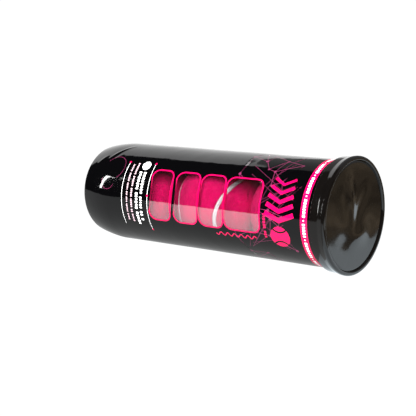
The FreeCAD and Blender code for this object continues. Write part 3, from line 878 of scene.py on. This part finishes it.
def make_felt(number, sphere, finish):
    """The ball's felt with its nap, sunk along the seam."""
    directions, faces = sphere
    line, _ = seam_line(720)
    nearest = np.concatenate([(chunk @ line.T).max(1) for chunk in np.array_split(directions, 12)])
    off = np.arccos(np.clip(nearest, -1, 1)) * BALL_RADIUS
    draw = np.random.default_rng(100 + number)
    nap = draw.uniform(-0.16, 0.10, len(directions))
    groove = off < SEAM_WIDTH / 2
    soft = np.clip((off - SEAM_WIDTH / 2) / 1.2, 0, 1)
    sink = np.where(groove, FELT_DEPTH, 0.45 * (1 - soft) ** 2)
    radius = BALL_RADIUS - 0.1 + nap * ~groove - sink
    centre, lie = ball_place(number)
    points = centre + (directions * radius[:, None]) @ lie.T
    return new_piece(f"ball_{number}_felt", points, faces, [finish])


def make_seam(number, finish):
    """The rubber seam: a crowned strip laid in the felt's groove."""
    line, across = seam_line(480)
    half = SEAM_WIDTH / 2
    flank = [
        (-half + 0.05, -FELT_DEPTH + 0.1),
        (-half + 0.02, -SEAM_RECESS - 0.25),
        (-half * 0.6, -SEAM_RECESS - 0.05),
    ]
    section = flank + [(0.0, -SEAM_RECESS + 0.05)] + [(-side, lift) for side, lift in flank[::-1]]
    rows = [line * (BALL_RADIUS + lift) + across * side for side, lift in section]
    points = np.concatenate(rows)
    count, width = len(line), len(section)
    faces = [
        [row * count + i, row * count + (i + 1) % count,
         (row + 1) % width * count + (i + 1) % count, (row + 1) % width * count + i]
        for row in range(width)
        for i in range(count)
    ]
    centre, lie = ball_place(number)
    piece = new_piece(f"ball_{number}_seam_strip", centre + points @ lie.T, faces, [finish], 50)
    outwards(piece)
    return piece


# ---- what a user can change ----
def colour_setting(name, description, default):
    return bpy.props.FloatVectorProperty(
        name=name, description=description, default=default, subtype="COLOR", size=3, min=0, max=1,
    )


class CanColours(bpy.types.PropertyGroup):
    """Colours of the can's finishes."""

    ground: colour_setting("Ground", "Ink over most of the sleeve", (0.0008, 0.0008, 0.001))
    accent: colour_setting("Accent", "Bright ink of the outlines, band and signs", (0.55, 0.001, 0.068))
    light: colour_setting("Light", "Ink of the rules and lines of print", (0.86, 0.86, 0.86))
    pale: colour_setting("Pale", "Ink of the small lines of print", (0.62, 0.45, 0.5))
    backing: colour_setting("Backing", "Ink behind the print, seen from inside", (0.30, 0.012, 0.09))
    dull: colour_setting("Dull", "Ink of the web of thin lines", (0.14, 0.017, 0.058))
    felt: colour_setting("Felt", "Felt of the balls", (0.98, 0.003, 0.15))
    seam: colour_setting("Seam", "Rubber seam of the balls", (0.88, 0.80, 0.82))
    rubber: colour_setting("Core", "Rubber core of the balls", (0.10, 0.09, 0.09))
    cap: colour_setting("Cap", "Moulded overcap", (0.0022, 0.0018, 0.0016))
    metal: colour_setting("Metal", "Aluminium end and tab", (0.86, 0.87, 0.88))
    sealant: colour_setting("Sealant", "Compound inside the seam", (0.16, 0.18, 0.17))
    plastic: colour_setting("Clear plastic", "Tint of the blown tube", (0.972, 0.985, 0.985))


class CanSizes(bpy.types.PropertyGroup):
    """Sizes of the stage and of the balls' mesh."""

    floor: bpy.props.FloatProperty(
        name="Floor", description="Half the floor's width", default=6.0, min=1, unit="LENGTH",
    )
    felt_squares: bpy.props.IntProperty(
        name="Felt squares", description="Squares of felt mesh along a quarter of a ball",
        default=96, min=16, max=160,
    )


# ---- one operator for each piece or group of like pieces ----
def settle(piece, body, slot, *nodes):
    """Fixes a piece to its body and hides the CAD nodes that it stands for; slot is not used."""
    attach(piece, body)
    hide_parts(*nodes)


def refinish(node, finish):
    """Gives a CAD node that stays its own finish."""
    mesh = frame["nodes"][node].data
    mesh.materials.clear()
    mesh.materials.append(finish)


class AddSleeve(bpy.types.Operator):
    """Adds the printed shrink sleeve with its clear windows."""

    bl_idname = "can.sleeve"
    bl_label = "Printed sleeve"

    def execute(self, context):
        colours = context.scene.can_colours
        finishes = [
            printed_finish("ink_ground", colours.ground),
            printed_finish("ink_accent", colours.accent),
            printed_finish("ink_light", colours.light, 0.94),
            printed_finish("ink_dull", colours.dull),
            clear_finish("film_window", (0.995, 0.99, 0.992), 0.16, 70.0, 0.03),
            printed_finish("ink_pale", colours.pale),
            printed_finish("ink_backing", colours.backing),
        ]
        settle(make_sleeve(finishes), "can", "sleeve_print", "shrink_sleeve")
        return {"FINISHED"}


class AddTube(bpy.types.Operator):
    """Adds the clear blown tube with its domed base."""

    bl_idname = "can.tube"
    bl_label = "Clear tube"

    def execute(self, context):
        colours = context.scene.can_colours
        finish = clear_finish("blown_plastic", colours.plastic, 0.14, 45.0, 0.03)
        settle(make_tube(finish), "can", "pet_clear", "can_body")
        return {"FINISHED"}


class AddOvercap(bpy.types.Operator):
    """Adds the press-fit overcap."""

    bl_idname = "can.overcap"
    bl_label = "Overcap"

    def execute(self, context):
        colours = context.scene.can_colours
        settle(make_overcap(moulded_finish("moulded_cap", colours.cap)), "overcap", "cap_black", "overcap")
        return {"FINISHED"}


class AddBalls(bpy.types.Operator):
    """Adds the three balls' felt and seams and finishes their rubber cores."""

    bl_idname = "can.balls"
    bl_label = "Balls"

    def execute(self, context):
        colours = context.scene.can_colours
        felt = felt_finish("wool_felt", colours.felt)
        strip = rubber_finish("seam_rubber", colours.seam, 1100.0, 0.55)
        core = rubber_finish("core_rubber", colours.rubber)
        squares = context.scene.can_sizes.felt_squares
        sphere = quad_sphere(squares // (1))
        for number in (1, 2, 3):
            body = f"ball_{number}"
            settle(make_felt(number, sphere, felt), body, "ball_felt", f"{body}_felt_a", f"{body}_felt_b")
            settle(make_seam(number, strip), body, "ball_seam", f"{body}_seam")
            for half in ("core_half_a", "core_half_b"):
                refinish(f"{body}_{half}", core)
        return {"FINISHED"}


class FinishEnd(bpy.types.Operator):
    """Finishes the seamed aluminium end, its tear panel, its tab and the sealing compound."""

    bl_idname = "can.metal_end"
    bl_label = "Metal end"

    def execute(self, context):
        colours = context.scene.can_colours
        across = rolled_metal_finish("rolled_end", colours.metal, (300.0, 120.0, 3800.0))
        duller = [c * 0.97 for c in colours.metal]
        bright = rolled_metal_finish("rolled_tab", duller, (300.0, 2600.0, 160.0))
        for node, finish in (
            ("end_ring", across),
            ("tear_panel", across),
            ("tab_web", bright),
            ("pull_tab", bright),
            ("sealing_compound", rubber_finish("seam_sealant", colours.sealant, 900.0, 0.7)),
        ):
            refinish(node, finish)
        return {"FINISHED"}


# ---- stage: metres in the row's frame, angles in degrees ----
LENS = 91.9
SENSOR = 36.0
VIEW_AROUND = 38.05  # from square on to the can's side, towards its cap
VIEW_UP = 10.59
VIEW_DISTANCE = 0.70348  # to the cap's rim
RIM_LEVEL = CAP_TOP - 1.5
RIM_ASIDE = 0.096858  # how far right of the view's middle the rim is
RIM_BELOW = 0.005332
FLOOR_DROP = 0.0004  # the floor lies a hair below the can
CARD_DROP = 0.0002
LIT_FLOOR = (  # what the can mirrors of the floor: name, two corners, colour, strength
    ("lit_floor", (-1.6, -0.29), (0.09, 1.2), (0.98, 1.0, 1.0), 0.55),
    ("lit_floor_end", (0.09, -0.29), (0.175, 1.2), (0.9, 1.0, 1.06), 1.28),
    ("lit_floor_side", (0.26, -0.2), (0.6, 0.14), (0.95, 1.0, 1.0), 1.1),
)
BROWN_FLOOR = ((0.176, -0.3), (1.6, 1.2))
BACKDROPS = (("backdrop_card", -2.2, -0.48, 1.25), ("backdrop_end", -0.48, 1.2, 0.28))
BACKDROP_EDGES = ((0.16, 0.78), (1.5, -0.001))  # its upper and lower edge, (y, z)
SIDE_CARD = ((-1.50, -1.09), (-1.44, -1.19))
SIDE_CARD_HEIGHTS = (0.20, 0.95)
LIT_MIDDLE = (0, 0, 0.03)
LIGHT_WIDTH = 0.9
SEEN_WHITE = 1.05


def place_camera():
    """Camera at the viewing angle, looking past the can's middle."""
    around, up_angle = math.radians(VIEW_AROUND), math.radians(VIEW_UP)
    back = Vector((
        math.sin(around) * math.cos(up_angle), -math.cos(around) * math.cos(up_angle), math.sin(up_angle),
    ))
    right = Vector((math.cos(around), math.sin(around), 0))
    up = back.cross(right)
    rim = CAN @ Vector((RIM_LEVEL, 0, 0))
    place = rim + back * VIEW_DISTANCE - right * RIM_ASIDE + up * RIM_BELOW
    data = bpy.data.cameras.new("camera")
    data.lens, data.sensor_width, data.clip_start = LENS, SENSOR, 0.01
    camera = in_scene("camera", data)
    camera.matrix_world = Matrix.Translation(place) @ Matrix((right, up, back)).transposed().to_4x4()
    bpy.context.scene.camera = camera


def glow_finish(name, colour, strength):
    """A surface that gives its own even light."""
    r = Recipe(name)
    return r.done(r.add("ShaderNodeEmission", Color=rgba(colour), Strength=strength))


def level_corners(first, last, height):
    """The four corners of a level rectangle."""
    (x0, y0), (x1, y1) = first, last
    return [(x0, y0, height), (x1, y0, height), (x1, y1, height), (x0, y1, height)]


def flat_sheet(name, corners, finish):
    """A sheet of the studio, which isn't part of the can."""
    mesh = bpy.data.meshes.new(name)
    mesh.from_pydata(corners, [], [list(range(len(corners)))])
    mesh.materials.append(finish)
    sheet = in_scene(name, mesh)
    return sheet


def mottled_glow(name, colour):
    """A dim surface whose brightness drifts, for the reflections in the cap's face."""
    r = Recipe(name)
    drift = r.noise(scale=9.0, detail=3.0, rough=0.6)
    strength = r.spread(drift, (0.35, 0.7), (0.1, 1.0))
    return r.done(r.add("ShaderNodeEmission", Color=rgba(colour), Strength=strength))


def mirrored_only(card):
    """A card of the studio that shows only in reflections."""
    card.visible_camera = False
    card.visible_diffuse = False


def soft_light(name, place, power):
    """A square soft box aimed at the can, which polished surfaces don't mirror."""
    data = bpy.data.lights.new(name, "AREA")
    data.shape, data.size, data.size_y = "RECTANGLE", LIGHT_WIDTH, LIGHT_WIDTH
    data.energy = power
    light = in_scene(name, data)
    light.location = place
    light.rotation_euler = (Vector(LIT_MIDDLE) - Vector(place)).to_track_quat("-Z", "Y").to_euler()
    light.visible_glossy = False


def surroundings():
    """A world that the view sees as white, and that is nearly dark in reflections."""
    r = Recipe("surroundings", "worlds")
    seen = r.add("ShaderNodeBackground", Color=(1, 1, 1, 1), Strength=SEEN_WHITE).outputs[0]
    dark = r.add("ShaderNodeBackground", Color=(0.05, 0.045, 0.042, 1), Strength=0.25).outputs[0]
    path = r.add("ShaderNodeLightPath").outputs["Is Camera Ray"]
    return r.done(r.add("ShaderNodeMixShader", Fac=path, i1=dark, i2=seen), "ShaderNodeOutputWorld")


class AddStage(bpy.types.Operator):
    """Adds the pale floor, the soft lights, the surroundings and the camera."""

    bl_idname = "can.stage"
    bl_label = "Stage"

    def execute(self, context):
        half = context.scene.can_sizes.floor
        floor = flat_sheet(
            "floor", level_corners((-half, -half), (half, half), -FLOOR_DROP),
            glow_finish("pale_floor", (1, 1, 1), SEEN_WHITE),
        )
        floor.visible_glossy = False
        for name, first, last, colour, strength in LIT_FLOOR:
            finish = glow_finish(name + "_paper", colour, strength)
            mirrored_only(flat_sheet(name, level_corners(first, last, -CARD_DROP), finish))
        brown = mottled_glow("brown_floor_paper", (0.55, 0.42, 0.28))
        mirrored_only(flat_sheet("brown_floor", level_corners(*BROWN_FLOOR, -CARD_DROP * 1.5), brown))
        (top_y, top_z), (low_y, low_z) = BACKDROP_EDGES
        for name, x0, x1, strength in BACKDROPS:
            mirrored_only(flat_sheet(
                name, [(x0, top_y, top_z), (x0, low_y, low_z), (x1, low_y, low_z), (x1, top_y, top_z)],
                glow_finish(name + "_paper", (1, 1, 1), strength),
            ))
        (first, last), (low, high) = SIDE_CARD, SIDE_CARD_HEIGHTS
        mirrored_only(flat_sheet(
            "side_card", [(*first, low), (*last, low), (*last, high), (*first, high)],
            glow_finish("side_card_paper", (1, 1, 1), 30.0),
        ))
        soft_light("key_light", (0.75, -1.2, 0.8), 105)
        soft_light("fill_light", (-0.9, -1.0, 0.7), 28)
        bpy.context.scene.world = surroundings()
        bpy.context.scene.view_settings.view_transform = "Standard"
        place_camera()
        return {"FINISHED"}


OPERATORS = (AddStage, AddTube, AddSleeve, AddOvercap, AddBalls, FinishEnd)


class CanPanel(bpy.types.Panel):
    """Lists the can's pieces, colours and sizes."""

    bl_idname = "CAN_PT_pieces"
    bl_label = "Ball can"
    bl_space_type = "VIEW_3D"
    bl_region_type = "UI"
    bl_category = "Ball can"

    def draw(self, context):
        for operator in OPERATORS:
            self.layout.operator(operator.bl_idname)
        for group in (context.scene.can_colours, context.scene.can_sizes):
            for name in type(group).__annotations__:
                self.layout.prop(group, name)


CLASSES = (CanColours, CanSizes, *OPERATORS, CanPanel)


def register():
    for cls in CLASSES:
        bpy.utils.register_class(cls)
    bpy.types.Scene.can_colours = bpy.props.PointerProperty(type=CanColours)
    bpy.types.Scene.can_sizes = bpy.props.PointerProperty(type=CanSizes)


def unregister():
    del bpy.types.Scene.can_sizes
    del bpy.types.Scene.can_colours
    for cls in reversed(CLASSES):
        bpy.utils.unregister_class(cls)


def main():
    register()
    for operator in OPERATORS:
        group, name = operator.bl_idname.split(".")
        getattr(getattr(bpy.ops, group), name)()


if __name__ == "__main__":
    main()
